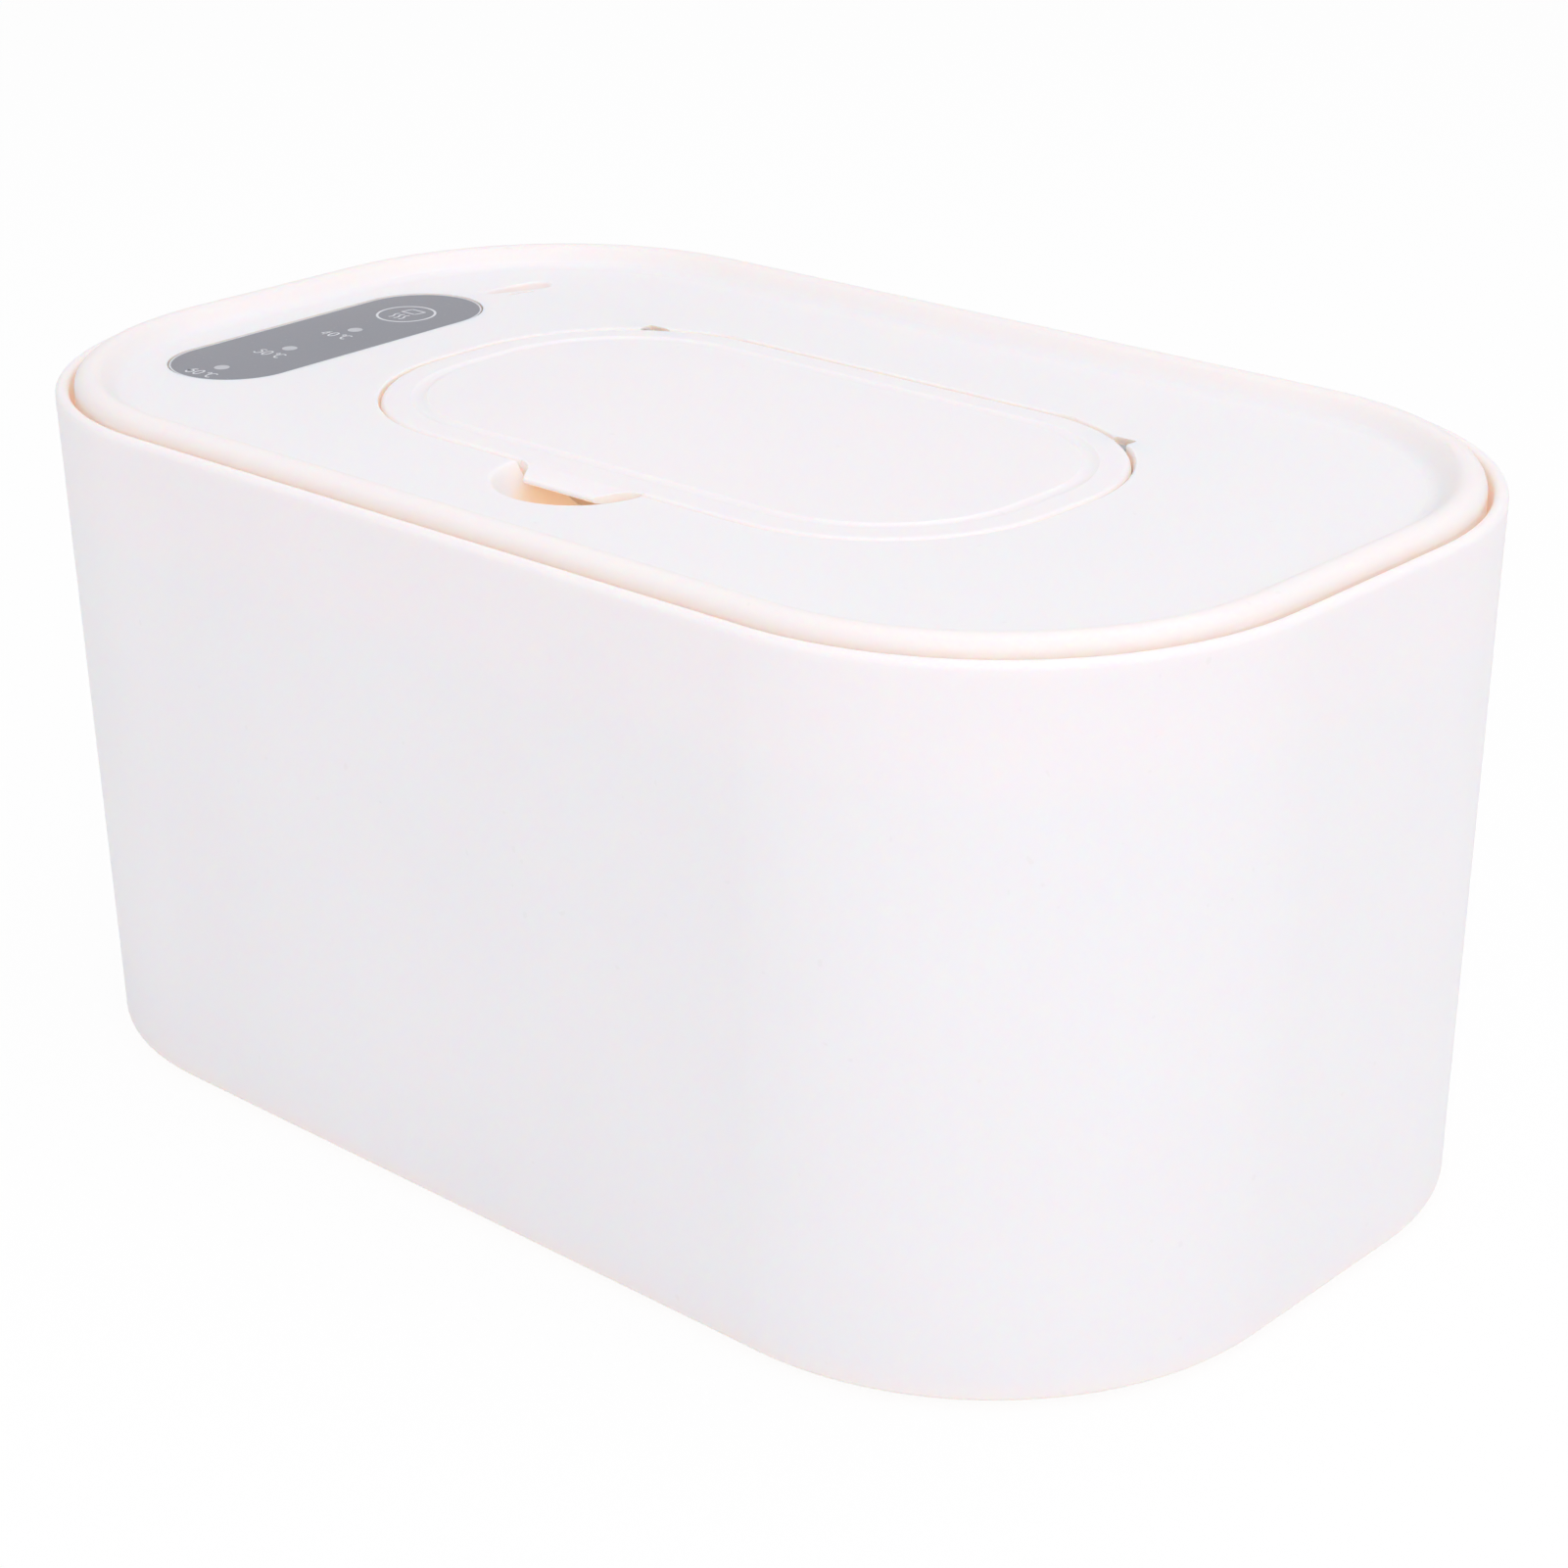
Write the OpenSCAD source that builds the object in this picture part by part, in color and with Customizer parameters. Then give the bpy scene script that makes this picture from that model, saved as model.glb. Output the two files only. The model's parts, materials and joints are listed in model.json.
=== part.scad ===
// Baby wipe warmer: a tapered body with a wipe bin and heater inside, a lift-off lid
// that carries the touch panel, and a flip door over the dispensing mouth.
// The front is towards -Y, the touch panel is at the -X end and the feet stand on z = 0.

/* [Body] */
// Length of the body over its rim
body_l = 230; // [222:1:250]
// Width of the body over its rim
body_w = 139; // [132:1:156]
// Height of the body from its lower edge to its rim
body_h = 109.2; // [102:0.1:125]
// Radius of the upright corners at the rim
corner_r = 52; // [49:0.5:60]
// How far each side draws in from the rim to the lower edge
body_draft = 2.4; // [1:0.1:3]
// Wall of the outer shell
shell_wall = 2.2; // [1.8:0.1:2.6]
// Width of the inside ledge that carries the bin
ledge_w = 3.4; // [2.6:0.1:4.5]

/* [Lid] */
// Gap between the lid and the rim of the body
lid_gap = 0.8; // [0.6:0.1:1.2]
// How far the raised edge of the lid stands above the rim
crest_rise = 2.1; // [1.5:0.1:3]
// How far the flat of the lid lies below the rim
plate_drop = 1.2; // [0.5:0.1:1.6]
// Rounding of the lid's outer edge
edge_r = 2.6; // [2.2:0.1:2.8]
// Rounding where the raised edge meets the flat
bead_foot_r = 3; // [2:0.1:4]
// Width of the raised edge, from the lid's side to the flat
bead_w = 8.4; // [8.2:0.1:10]
// Wall of the lid and its skirt
lid_wall = 2; // [1.8:0.1:2.3]
// Depth from the rim down to the flange that the lid rests on
lid_seat = 15.4; // [15:0.1:18]

/* [Flip door] */
// Distance of the door's ends from the ends of the body
door_margin = 52; // [49:0.5:55]
// Width of the door, front to back
door_w = 70.5; // [66:0.5:76]
// Corner radius of the door
door_r = 31; // [29:0.5:33]
// Thickness of the door panel
door_t = 2.2; // [2:0.1:2.6]
// Gap round the door
door_gap = 0.35; // [0.3:0.05:0.6]
// Rounding of the door's upper edge
door_edge_r = 1.1; // [0.8:0.1:1.3]
// Distance of the groove from the door's edge
groove_inset = 6; // [5:0.5:8]
// Width of the groove
groove_w = 2.6; // [1.6:0.1:3]
// Depth of the groove
groove_d = 0.4; // [0.3:0.05:0.5]
// Distance of the hinge axis from the door's rear edge
hinge_inset = 5; // [4.5:0.1:6]
// Depth of the hinge axis below the door's face
hinge_depth = 1.25; // [1.2:0.05:1.4]
// Diameter of the hinge pins
hinge_pin_d = 1.5; // [1.3:0.05:1.6]
// Running clearance round a hinge pin
pin_clear = 0.05; // [0.02:0.01:0.08]

/* [Finger tab and scoop] */
// Width of the tab at the door
tab_root_w = 21; // [18:0.5:22]
// Width of the tab at its front edge
tab_tip_w = 14.4; // [12:0.2:16]
// How far the tab stands out from the door
tab_l = 4.5; // [3.5:0.1:5.5]
// Radius of the hollow curves between the tab's sides and the door
tab_hollow_r = 4.7; // [3:0.1:5.2]
// How far the front edge of the tab dips below the door's face
tab_dip = 0.5; // [0.2:0.1:1]
// Radius of the finger scoop at the lid's face
scoop_r = 13; // [12:0.25:14]
// Depth of the finger scoop
scoop_d = 7.5; // [6.5:0.25:8]
// Rounding of the finger scoop's lip
scoop_lip_r = 1; // [0.6:0.1:1.4]

/* [Touch panel] */
// Length of the panel, front to back
panel_l = 63.2; // [59:0.2:65]
// Width of the panel
panel_w = 22.8; // [20.8:0.5:23.3]
// Distance of the panel's middle from the end of the body
panel_end = 27.3; // [26.7:0.1:28.2]
// How far the panel's middle is moved to the front
panel_y = 7.7; // [6.2:0.5:8.7]
// How far the panel is turned against the lid
panel_turn = 1.8; // [0:0.1:2.5]
// Thickness of the panel
panel_t = 0.7; // [0.5:0.05:0.9]
// How far the panel's face lies below the lid's flat
panel_sink = 0.15; // [0.05:0.05:0.3]
// Distance of the touch key from the panel's middle
key_pos = 17.7; // [16.5:0.1:19]
// Distance of the first lamp from the panel's middle
lamp_pos = 5.2; // [4.5:0.1:6.5]
// Distance from lamp to lamp
lamp_pitch = 14.7; // [13:0.1:15.2]
// Distance of the lamps from the panel's middle line
lamp_side = 0.7; // [0:0.1:1.5]
// Diameter of a lamp's light guide
lamp_d = 2.8; // [2:0.1:3.2]

/* [Lift notch] */
// Distance of the notch's deep end from the end of the body
notch_end = 30.1; // [29:0.5:34]
// Distance of the notch's deep end from the rear of the body
notch_side = 31.6; // [30:0.5:36]
// Length of the notch
notch_l = 15; // [12:0.5:16]
// Width of the notch at its deep end
notch_w = 5.2; // [4.4:0.2:6]
// Depth of the notch at its deep end
notch_d = 1; // [0.8:0.1:1.4]
// How far the notch is turned against the lid
notch_turn = 18; // [10:1:24]

/* [Wipe bin] */
// Clear space between the body's wall and the bin
bin_gap = 11; // [10.5:0.1:12]
// Wall of the bin
bin_wall = 1.8; // [1.5:0.1:2.2]
// How far each side of the bin draws in to its floor
bin_draft = 1.2; // [0.6:0.1:2]
// Rounding between the bin's side and floor
bin_round = 6; // [4:0.5:9]
// Thickness of the bin's flange
flange_t = 2; // [1.6:0.1:2.6]
// Clear space between the base cover and the bin
base_space = 16; // [15:0.5:20]

/* [Dispensing mouth] */
// Distance of the collar from the door's edge
collar_inset = 13; // [12:0.5:15]
// Wall of the collar
collar_wall = 1.6; // [1.2:0.1:2]
// Height of the collar above the floor of the well
collar_h = 2.5; // [2:0.1:3]
// Length of the opening that the wipes come through
mouth_l = 58; // [50:1:66]
// Width of that opening
mouth_w = 14; // [12:0.5:18]
// Thickness of the soft insert
insert_t = 1.8; // [1.4:0.1:2.2]

/* [Heater] */
// Length of the heat spreader plate
heater_l = 146; // [130:1:150]
// Width of the heat spreader plate
heater_w = 76; // [66:1:80]
// Thickness of the heat spreader plate
spreader_t = 1; // [0.8:0.1:1.5]
// Thickness of the heating film
film_t = 0.5; // [0.3:0.1:0.8]
// Thickness of the foam pad under the heater
pad_t = 5; // [3:0.5:5.5]
// Thickness of the foam sleeve round the bin
sleeve_t = 5; // [4:0.5:6]

/* [Base] */
// Thickness of the base cover
base_t = 2.4; // [2:0.1:3]
// Diameter of a rubber foot
foot_d = 12; // [10:0.5:13]
// How far a foot stands out below the base
foot_proud = 1.2; // [0.8:0.1:2]
// Depth of the pocket that a foot is glued into
foot_seat = 1; // [0.6:0.1:1.2]
// Distance of the feet from the ends of the body
foot_end = 41; // [39:1:49]
// Distance of the feet from the front and the rear of the body
foot_side = 29.5; // [28.5:0.5:33.5]
// Diameter of the screws
screw_d = 3; // [2.6:0.1:3.2]
// Distance of the power inlet from the end of the body
inlet_end = 70; // [68:1:76]

/* [Hidden] */
$fn = 64;

ivory = [0.95, 0.94, 0.93];
soft_white = [0.90, 0.90, 0.89];
rubber_grey = [0.55, 0.55, 0.56];
panel_grey = [0.56, 0.57, 0.60];
steel = [0.75, 0.76, 0.78];
copper_tan = [0.72, 0.50, 0.30];
silicone = [0.84, 0.85, 0.86];
clear = [0.92, 0.95, 0.97];
lead_red = [0.65, 0.16, 0.14];
lead_grey = [0.42, 0.42, 0.43];
board_green = [0.16, 0.42, 0.27];
foam_grey = [0.70, 0.71, 0.73];
black = [0.12, 0.12, 0.13];

// Small fits: loose seat, close seat and the overlap that fuses two solids of one piece
fit = 0.3;
close_fit = 0.05;
fuse = 1;
// Cuts run this far past a face
past = 1;

// Levels, from the feet up
base_z = foot_proud;
base_top = base_z + base_t;
bin_under = base_top + base_space;
bin_floor = bin_under + bin_wall;
rim_z = base_z + body_h;
flange_z = rim_z - lid_seat;
plate_z = rim_z - plate_drop;
crest_z = rim_z + crest_rise;

// Corner centres that the body, the bin and the lid share
cx = body_l / 2 - corner_r;
cy = body_w / 2 - corner_r;

// What keeps its distance from the ends and sides of the body
door_l = body_l - 2 * door_margin;
panel_x = body_l / 2 - panel_end;
foot_x = body_l / 2 - foot_end;
foot_y = body_w / 2 - foot_side;
inlet_x = body_l / 2 - inlet_end;

// Radii about those centres
foot_of_shell_r = corner_r - body_draft;
bin_r = corner_r - shell_wall - bin_gap - bin_wall;
lid_r = corner_r - shell_wall - lid_gap;
flat_r = lid_r - bead_w;
skirt_in_r = lid_r - lid_wall;

// The drafted inside wall of the shell at a height
function shell_in(z) = corner_r - shell_wall - body_draft * (rim_z - z) / body_h;
flange_r = shell_in(flange_z - flange_t) - fit;
ledge_r = shell_in(flange_z - flange_t) - ledge_w;
sleeve_r = bin_r + bin_wall + fit + sleeve_t;

// Edges are eased with these small roundings
shell_foot_r = 0.8;
tab_edge_r = 0.5;
tab_blend = 0.15;
opening_edge_r = 0.4;

// Lid levels: seal, liner and well
seal_lift = 0.2;
liner_t = 2;
lid_under = flange_z + liner_t;
liner_top = lid_under + liner_t;
seal_w = 3;
seal_deep = 1.2;
seal_inset = 0.2;
seal_in_r = bin_r + bin_wall + seal_inset;
seal_out_r = seal_in_r + seal_w;

// Corner centres and radii of the door, its opening and the well below it
dcx = door_l / 2 - door_r;
dcy = door_w / 2 - door_r;
rest_w = 4;
rest_t = 1.6;
rest_gap = 0.2;
rest_z = plate_z - door_t - rest_gap;
well_floor = lid_under + liner_t;
well_r = door_r - rest_w;
trough_y = 20;
collar_r = door_r - collar_inset;
hole_inset = 4;
hole_r = collar_r - hole_inset;

// The plate under the door and the seal in it, which closes on the collar
door_liner_t = 1.8;
door_liner_inset = 9;
door_liner_r = door_r - door_liner_inset;
door_liner_z = plate_z - door_t - door_liner_t;
door_seal_w = 2.6;
door_seal_deep = 0.8;
door_seal_in_r = collar_r - (collar_wall + door_seal_w) / 2;
door_seal_out_r = door_seal_in_r + door_seal_w;

// The radius of a ball from the half width and the depth of the hollow that it leaves
function ball_of(half_w, depth) = (pow(half_w, 2) + pow(depth, 2)) / (2 * depth);

// The ball whose cap is the finger scoop, and the round lip that touches it
scoop_ball = ball_of(scoop_r, scoop_d);
scoop_z = plate_z - scoop_d + scoop_ball;
lip_z = plate_z - scoop_lip_r;
lip_out = sqrt(pow(scoop_ball + scoop_lip_r, 2) - pow(scoop_z - lip_z, 2));
lip_foot = scoop_z - (scoop_z - lip_z) * scoop_ball / (scoop_ball + scoop_lip_r);

// Hinge axis of the door
hinge_y = door_w / 2 - hinge_inset;
hinge_z = plate_z - hinge_depth;
knuckle_r = 1.7;
swing_r = knuckle_r + fit;
knuckle_l = 8;
knuckle_set = 1.9;
pin_boss_r = 2.2;
pin_boss_l = 7;
pin_grip = 4;
// Where the door's outline and the edge of its opening cross the hinge axis, and how
// far out the door's end reaches below the lid's face while it swings
function end_at(r, y) = dcx + sqrt(pow(r, 2) - pow(y - dcy, 2));
door_end = end_at(door_r, hinge_y);
opening_end = end_at(door_r + door_gap, hinge_y);
swing_end = end_at(door_r, hinge_y - hinge_depth) + fit;
knuckle_end = door_end - knuckle_set;
pin_in = knuckle_end - pin_grip;
pin_out = opening_end + pin_boss_l - fuse;

// Raised edge of the lid: a round crest, a slope and a hollow foot, all tangent
crest_c = [lid_r - edge_r, crest_z - edge_r];
hollow_c = [flat_r, plate_z + bead_foot_r];
bead_run = crest_c - hollow_c;
bead_slope = atan2(bead_run.y, bead_run.x) + asin((edge_r + bead_foot_r) / norm(bead_run));
bead_normal = [-sin(bead_slope), cos(bead_slope)];

// Screws: shank, head and the posts that take them
screw_r = screw_d / 2;
head_rim = 1.2;
head_r = screw_r + head_rim;
head_h = 2;
post_wall = 3;
post_r = screw_r + post_wall;
post_end = 29;
post_x = body_l / 2 - post_end;
post_y = 26;
base_boss_h = 5;
base_screw_l = 12;
boss_wall = 2;
lid_post_r = 3.4;
lid_screw_l = 6.5;
lid_screw_r = 1.1;
lid_head_r = 2;
lid_head_h = 1.2;
lid_post_end = 55;
lid_post_side = 22.5;
end_post_end = 23;
lid_post_x = body_l / 2 - lid_post_end;
lid_post_y = body_w / 2 - lid_post_side;
end_post_x = body_l / 2 - end_post_end;
inner_post_x = door_l / 2 + door_gap + lid_wall + lid_post_r + fit;
lid_posts = [[-lid_post_x, -lid_post_y], [lid_post_x, -lid_post_y], [-lid_post_x, lid_post_y],
    [lid_post_x, lid_post_y], [end_post_x, 0], [-inner_post_x, 0]];

// Touch panel, its board and what stands between them
panel_bed = plate_z - panel_sink - panel_t;
board_t = 1.6;
board_drop = 4.4;
board_top = plate_z - lid_wall - board_drop;
board_w = 18;
lamp_h = 0.8;
lamp_body = 1.6;
guide_flange_r = 2.6;
touch_pad_d = 9;
board_post_r = 2;
board_screw_r = 0.7;
board_head_h = 0.6;
// The board's posts stand clear of the outer lamp and of the touch key
board_post_pos = board_post_r + 2 * fit
    + max(2 * lamp_pitch - lamp_pos + guide_flange_r, key_pos + touch_pad_d / 2);
board_l = 2 * (board_post_pos + board_post_r);

// Lift notch: a bar with a ball end, sunk towards its rear
notch_x = body_l / 2 - notch_end;
notch_y = body_w / 2 - notch_side;
notch_ball = ball_of(notch_w / 2, notch_d);
notch_fall = atan2(notch_d, notch_l - notch_w / 2);
notch_wall = 1.4;
slit_l = 4.6;
slit_w = 0.5;
slit_d = 0.5;
slit_side = notch_w / 2 + slit_w;
slit_back = 7;

// Contacts between the lid and the body
contact_r = (seal_out_r + skirt_in_r) / 2;
contact_w = 3.6;
contact_l = 18;
contact_pitch = 4;
contact_n = 4;
contact_pin_r = 0.7;
contact_pad_t = 0.4;
contact_pad_r = 1.2;
contact_deep = 1.2;
pin_block_h = 4.5;

// Inner electrics
lead_r = 0.8;
lead_pitch = 2;
lead_bend = 3;
wire_fn = 24;
power_board_l = 44;
power_board_w = 24;
part_inset = 9;
coil_r = 3.7;
coil_h = 3.7;
cap_r = 2.8;
cap_h = 5.5;
standoff_h = 3;
inlet_w = 9;
inlet_l = 14;
inlet_h = 11;
nose_r = 4.2;
nose_in = 0.5;
socket_r = 2.75;
socket_deep = 9.5;
socket_pin_r = 1;
power_board_top = base_top + standoff_h + board_t;
inlet_z = power_board_top + inlet_h / 2;
inlet_face = cy + shell_in(inlet_z) + shell_wall - nose_in;
inlet_back = cy + shell_in(inlet_z - inlet_h) - fit - inlet_l;
film_under = bin_under - spreader_t - film_t;
pocket_x = -14;
pocket_l = 26;
pocket_w = 14;
sensor_r = 1.4;
sensor_l = 7;
fuse_r = 1.9;
fuse_l = 11;
lead_run_y = 10;

// A rounded rectangle given by its corner centres and radius
module outline(x, y, r) {
    square([2 * x, 2 * (y + r)], center = true);
    square([2 * (x + r), 2 * y], center = true);
    for (sx = [-1, 1], sy = [-1, 1])
        translate([sx * x, sy * y])
            circle(r);
}

// A strip with round ends, lying along X
module stadium(l, w) {
    square([l - w, w], center = true);
    for (s = [-1, 1])
        translate([s * (l - w) / 2, 0])
            circle(w / 2);
}

// Sweeps a profile, drawn as [distance from the corner centre, height], round a
// rounded rectangle with the given corner centres
module around(x, y) {
    for (q = [0 : 3])
        translate([(q == 0 || q == 3 ? 1 : -1) * x, (q < 2 ? 1 : -1) * y, 0])
            rotate([0, 0, 90 * q])
                rotate_extrude(angle = 90)
                    children();
    for (turn = [0, 180])
        rotate([0, 0, turn]) {
            translate([-x, y, 0])
                rotate([90, 0, 90])
                    linear_extrude(2 * x)
                        children();
            translate([x, y, 0])
                rotate([90, 0, 0])
                    linear_extrude(2 * y)
                        children();
        }
}

// A flat slab with the given outline between two levels
module slab(z0, z1) {
    translate([0, 0, z0])
        linear_extrude(z1 - z0)
            children();
}

// A ring between two radii about shared corner centres
module ring(x, y, r_in, r_out) {
    difference() {
        outline(x, y, r_out);
        outline(x, y, r_in);
    }
}

// A rod along X between two stations on the hinge axis, on the right or mirrored
module axis_rod(x0, x1, r) {
    translate([x0, hinge_y, hinge_z])
        rotate([0, 90, 0])
            cylinder(h = x1 - x0, r = r);
}

// Draws its children on both sides of the middle plane
module both_ends() {
    children();
    mirror([1, 0, 0])
        children();
}

// A screw pointing up, with its head below
module screw(r, l, hr, hh) {
    cylinder(h = hh, r = hr);
    translate([0, 0, hh])
        cylinder(h = l, r = r);
}

// A straight piece of wire
module wire(a, b) {
    run = b - a;
    translate(a)
        rotate([0, acos(run.z / norm(run)), atan2(run.y, run.x)])
            cylinder(h = norm(run), r = lead_r, $fn = wire_fn);
}

// A quarter bend of wire at a corner, from direction u to direction v
module wire_bend(corner, u, v) {
    w = cross(u, v);
    c = corner + lead_bend * (v - u);
    multmatrix([[-v.x, u.x, w.x, c.x], [-v.y, u.y, w.y, c.y], [-v.z, u.z, w.z, c.z], [0, 0, 0, 1]])
        rotate_extrude(angle = 90)
            translate([lead_bend, 0])
                circle(lead_r, $fn = wire_fn);
}

// A wire through square corners, each rounded to the bend radius
module lead(points) {
    last = len(points) - 1;
    dirs = [for (i = [0 : last - 1]) (points[i + 1] - points[i]) / norm(points[i + 1] - points[i])];
    for (i = [0 : last - 1])
        wire(points[i] + (i > 0 ? lead_bend : 0) * dirs[i],
            points[i + 1] - (i < last - 1 ? lead_bend : 0) * dirs[i]);
    for (i = [1 : last - 1])
        wire_bend(points[i], dirs[i - 1], dirs[i]);
}

// Outer shell

module shell_wall_profile() {
    top_r = shell_wall / 2;
    difference() {
        union() {
            polygon([[foot_of_shell_r, base_z], [corner_r, rim_z - top_r],
                [corner_r - shell_wall, rim_z - top_r], [foot_of_shell_r - shell_wall, base_z]]);
            translate([corner_r - top_r, rim_z - top_r])
                circle(top_r);
        }
        translate([foot_of_shell_r - shell_foot_r, base_z])
            difference() {
                translate([0, -past])
                    square([2 * shell_foot_r, shell_foot_r + past]);
                translate([0, shell_foot_r])
                    circle(shell_foot_r);
            }
    }
}

// The ledge that carries the bin, sloped underneath, and the stop for the base cover
module shell_ledge_profile() {
    z = flange_z - flange_t;
    wall_r = shell_in(z) + shell_wall / 2;
    polygon([[ledge_r, z], [wall_r, z], [wall_r, z - 2 * ledge_w], [ledge_r, z - ledge_w / 2]]);
    stop_r = shell_in(base_top);
    polygon([[stop_r - ledge_w / 2, base_top], [stop_r + shell_wall / 2, base_top],
        [stop_r + shell_wall / 2, base_top + ledge_w], [stop_r - ledge_w / 2, base_top + ledge_w / 2]]);
}

module outer_shell() {
    color(ivory)
        difference() {
            around(cx, cy) {
                shell_wall_profile();
                shell_ledge_profile();
            }
            translate([-inlet_x, cy + foot_of_shell_r - ledge_w, inlet_z])
                rotate([-90, 0, 0])
                    cylinder(h = ledge_w + body_draft + past, r = nose_r + fit);
        }
}

// Wipe bin

module bin_profile() {
    foot_r = bin_r - bin_draft;
    bend = bin_round + bin_wall;
    polygon([[foot_r, bin_floor + bin_round], [bin_r, flange_z],
        [bin_r + bin_wall, flange_z], [foot_r + bin_wall, bin_floor + bin_round]]);
    translate([foot_r - bin_round, bin_floor + bin_round])
        intersection() {
            difference() {
                circle(bend);
                circle(bin_round);
            }
            translate([0, -bend])
                square(bend);
        }
    translate([bin_r + bin_wall / 2, flange_z - flange_t])
        square([flange_r - bin_r - bin_wall / 2, flange_t]);
}

module inner_bin() {
    color(soft_white)
        difference() {
            union() {
                around(cx, cy)
                    bin_profile();
                slab(bin_under, bin_floor)
                    outline(cx, cy, bin_r - bin_draft - bin_round + close_fit);
                for (x = [-post_x, post_x], y = [-post_y, post_y])
                    translate([x, y, base_z + base_boss_h + base_t])
                        cylinder(h = bin_under - base_z - base_boss_h - base_t + fuse, r = post_r);
            }
            for (x = [-post_x, post_x], y = [-post_y, post_y])
                translate([x, y, 0])
                    cylinder(h = bin_under - fuse, r = screw_r + close_fit);
            translate([-cx - contact_r, 0, flange_z])
                cube([contact_w + 2 * close_fit, contact_l + 2 * close_fit, 2 * contact_deep],
                    center = true);
        }
}

// Heater

module heater_outline(inset) {
    r = bin_round;
    outline(heater_l / 2 - r - inset, heater_w / 2 - r - inset, r);
}

module heat_spreader() {
    color(steel)
        slab(bin_under - spreader_t, bin_under)
            heater_outline(0);
}

module heating_film() {
    color(copper_tan)
        slab(film_under, film_under + film_t)
            heater_outline(fit);
}

module insulation_pad() {
    color(foam_grey)
        slab(film_under - pad_t, film_under)
            difference() {
                heater_outline(0);
                translate([pocket_x, 0])
                    square([pocket_l, pocket_w], center = true);
                translate([-inlet_x + lead_pitch / 2, lead_run_y])
                    square([3 * lead_pitch, 2 * lead_pitch], center = true);
            }
}

module insulation_sleeve() {
    color(foam_grey)
        slab(bin_floor + fit, flange_z - flange_t - fit)
            ring(cx, cy, sleeve_r - sleeve_t, sleeve_r);
}

// A bead sensor with its flat clip, under the heating film
module temperature_sensor() {
    color(black)
        translate([pocket_x - pocket_l / 4, 0, film_under - sensor_r]) {
            rotate([0, 90, 0])
                cylinder(h = sensor_l, r = sensor_r, center = true);
            translate([0, 0, sensor_r - film_t / 2])
                cube([sensor_l / 2, 3 * sensor_r, film_t], center = true);
        }
}

module thermal_fuse() {
    color(steel)
        translate([pocket_x + pocket_l / 4, 0, film_under - fuse_r]) {
            rotate([90, 0, 0])
                cylinder(h = fuse_l, r = fuse_r, center = true);
            translate([0, 0, fuse_r - film_t / 2])
                cube([3 * fuse_r, fuse_l / 2, film_t], center = true);
        }
}

// Power board with its coil and capacitor, on the base cover's standoffs
module power_board() {
    y = inlet_back + inlet_l - power_board_w;
    translate([-inlet_x - power_board_l / 2, y, power_board_top - board_t]) {
        color(board_green)
            cube([power_board_l, power_board_w, board_t]);
        color(black)
            translate([part_inset, power_board_w / 2, board_t])
                cylinder(h = coil_h, r = coil_r);
        color(steel)
            translate([power_board_l - part_inset, power_board_w / 2, board_t])
                cylinder(h = cap_h, r = cap_r);
    }
}

module power_inlet() {
    color(black)
        difference() {
            union() {
                translate([-inlet_x - inlet_w / 2, inlet_back, power_board_top])
                    cube([inlet_w, inlet_l, inlet_h]);
                translate([-inlet_x, inlet_back + inlet_l - fuse, inlet_z])
                    rotate([-90, 0, 0])
                        cylinder(h = inlet_face - inlet_back - inlet_l + fuse, r = nose_r);
            }
            translate([-inlet_x, inlet_face - socket_deep, inlet_z])
                rotate([-90, 0, 0])
                    difference() {
                        cylinder(h = socket_deep + past, r = socket_r);
                        cylinder(h = socket_deep - fuse, r = socket_pin_r);
                    }
        }
}

// Base

module base_cover() {
    foot_pocket_r = foot_d / 2 + close_fit;
    color(ivory)
        difference() {
            union() {
                slab(base_z, base_top)
                    outline(cx, cy, shell_in(base_z) - fit);
                for (x = [-post_x, post_x], y = [-post_y, post_y])
                    translate([x, y, base_z])
                        cylinder(h = base_t + base_boss_h, r = head_r + close_fit + boss_wall);
                slab(base_z, base_top + standoff_h)
                    for (x = [-1, 1], y = [-1, 1])
                        translate([-inlet_x + x * (power_board_l / 2 - 2 * boss_wall),
                            inlet_back + inlet_l - power_board_w / 2
                                + y * (power_board_w / 2 - 2 * boss_wall)])
                            circle(boss_wall);
                slab(base_top - fuse, base_top + boss_wall)
                    difference() {
                        ring(cx, cy, bin_r - 2 * boss_wall, bin_r - boss_wall);
                        for (x = [-post_x, post_x], y = [-post_y, post_y])
                            translate([x, y])
                                circle(head_r + boss_wall);
                    }
            }
            for (x = [-post_x, post_x], y = [-post_y, post_y])
                translate([x, y, base_z]) {
                    translate([0, 0, -past])
                        cylinder(h = base_t + base_boss_h - boss_wall + past, r = head_r + close_fit);
                    cylinder(h = base_t + base_boss_h + past, r = screw_r + close_fit);
                }
            for (x = [-foot_x, foot_x], y = [-foot_y, foot_y])
                translate([x, y, base_z - past])
                    cylinder(h = foot_seat + past, r = foot_pocket_r);
        }
}

module base_screws() {
    color(steel)
        for (x = [-post_x, post_x], y = [-post_y, post_y])
            translate([x, y, base_z + base_t + base_boss_h - boss_wall - head_h])
                screw(screw_r, base_screw_l - boss_wall, head_r, head_h);
}

// A rubber foot with a rounded lower edge
module foot(x, y) {
    r = foot_d / 2;
    ease = foot_proud / 2;
    color(rubber_grey)
        translate([x, y, 0])
            rotate_extrude() {
                square([r - ease, foot_proud + foot_seat]);
                translate([0, ease])
                    square([r, foot_proud + foot_seat - ease]);
                translate([r - ease, ease])
                    circle(ease);
            }
}

module foot_front_left() { foot(-foot_x, -foot_y); }
module foot_front_right() { foot(foot_x, -foot_y); }
module foot_rear_left() { foot(-foot_x, foot_y); }
module foot_rear_right() { foot(foot_x, foot_y); }

// Contacts

module contact_row() {
    for (i = [0 : contact_n - 1])
        translate([-cx - contact_r, (i - (contact_n - 1) / 2) * contact_pitch, 0])
            children();
}

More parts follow.
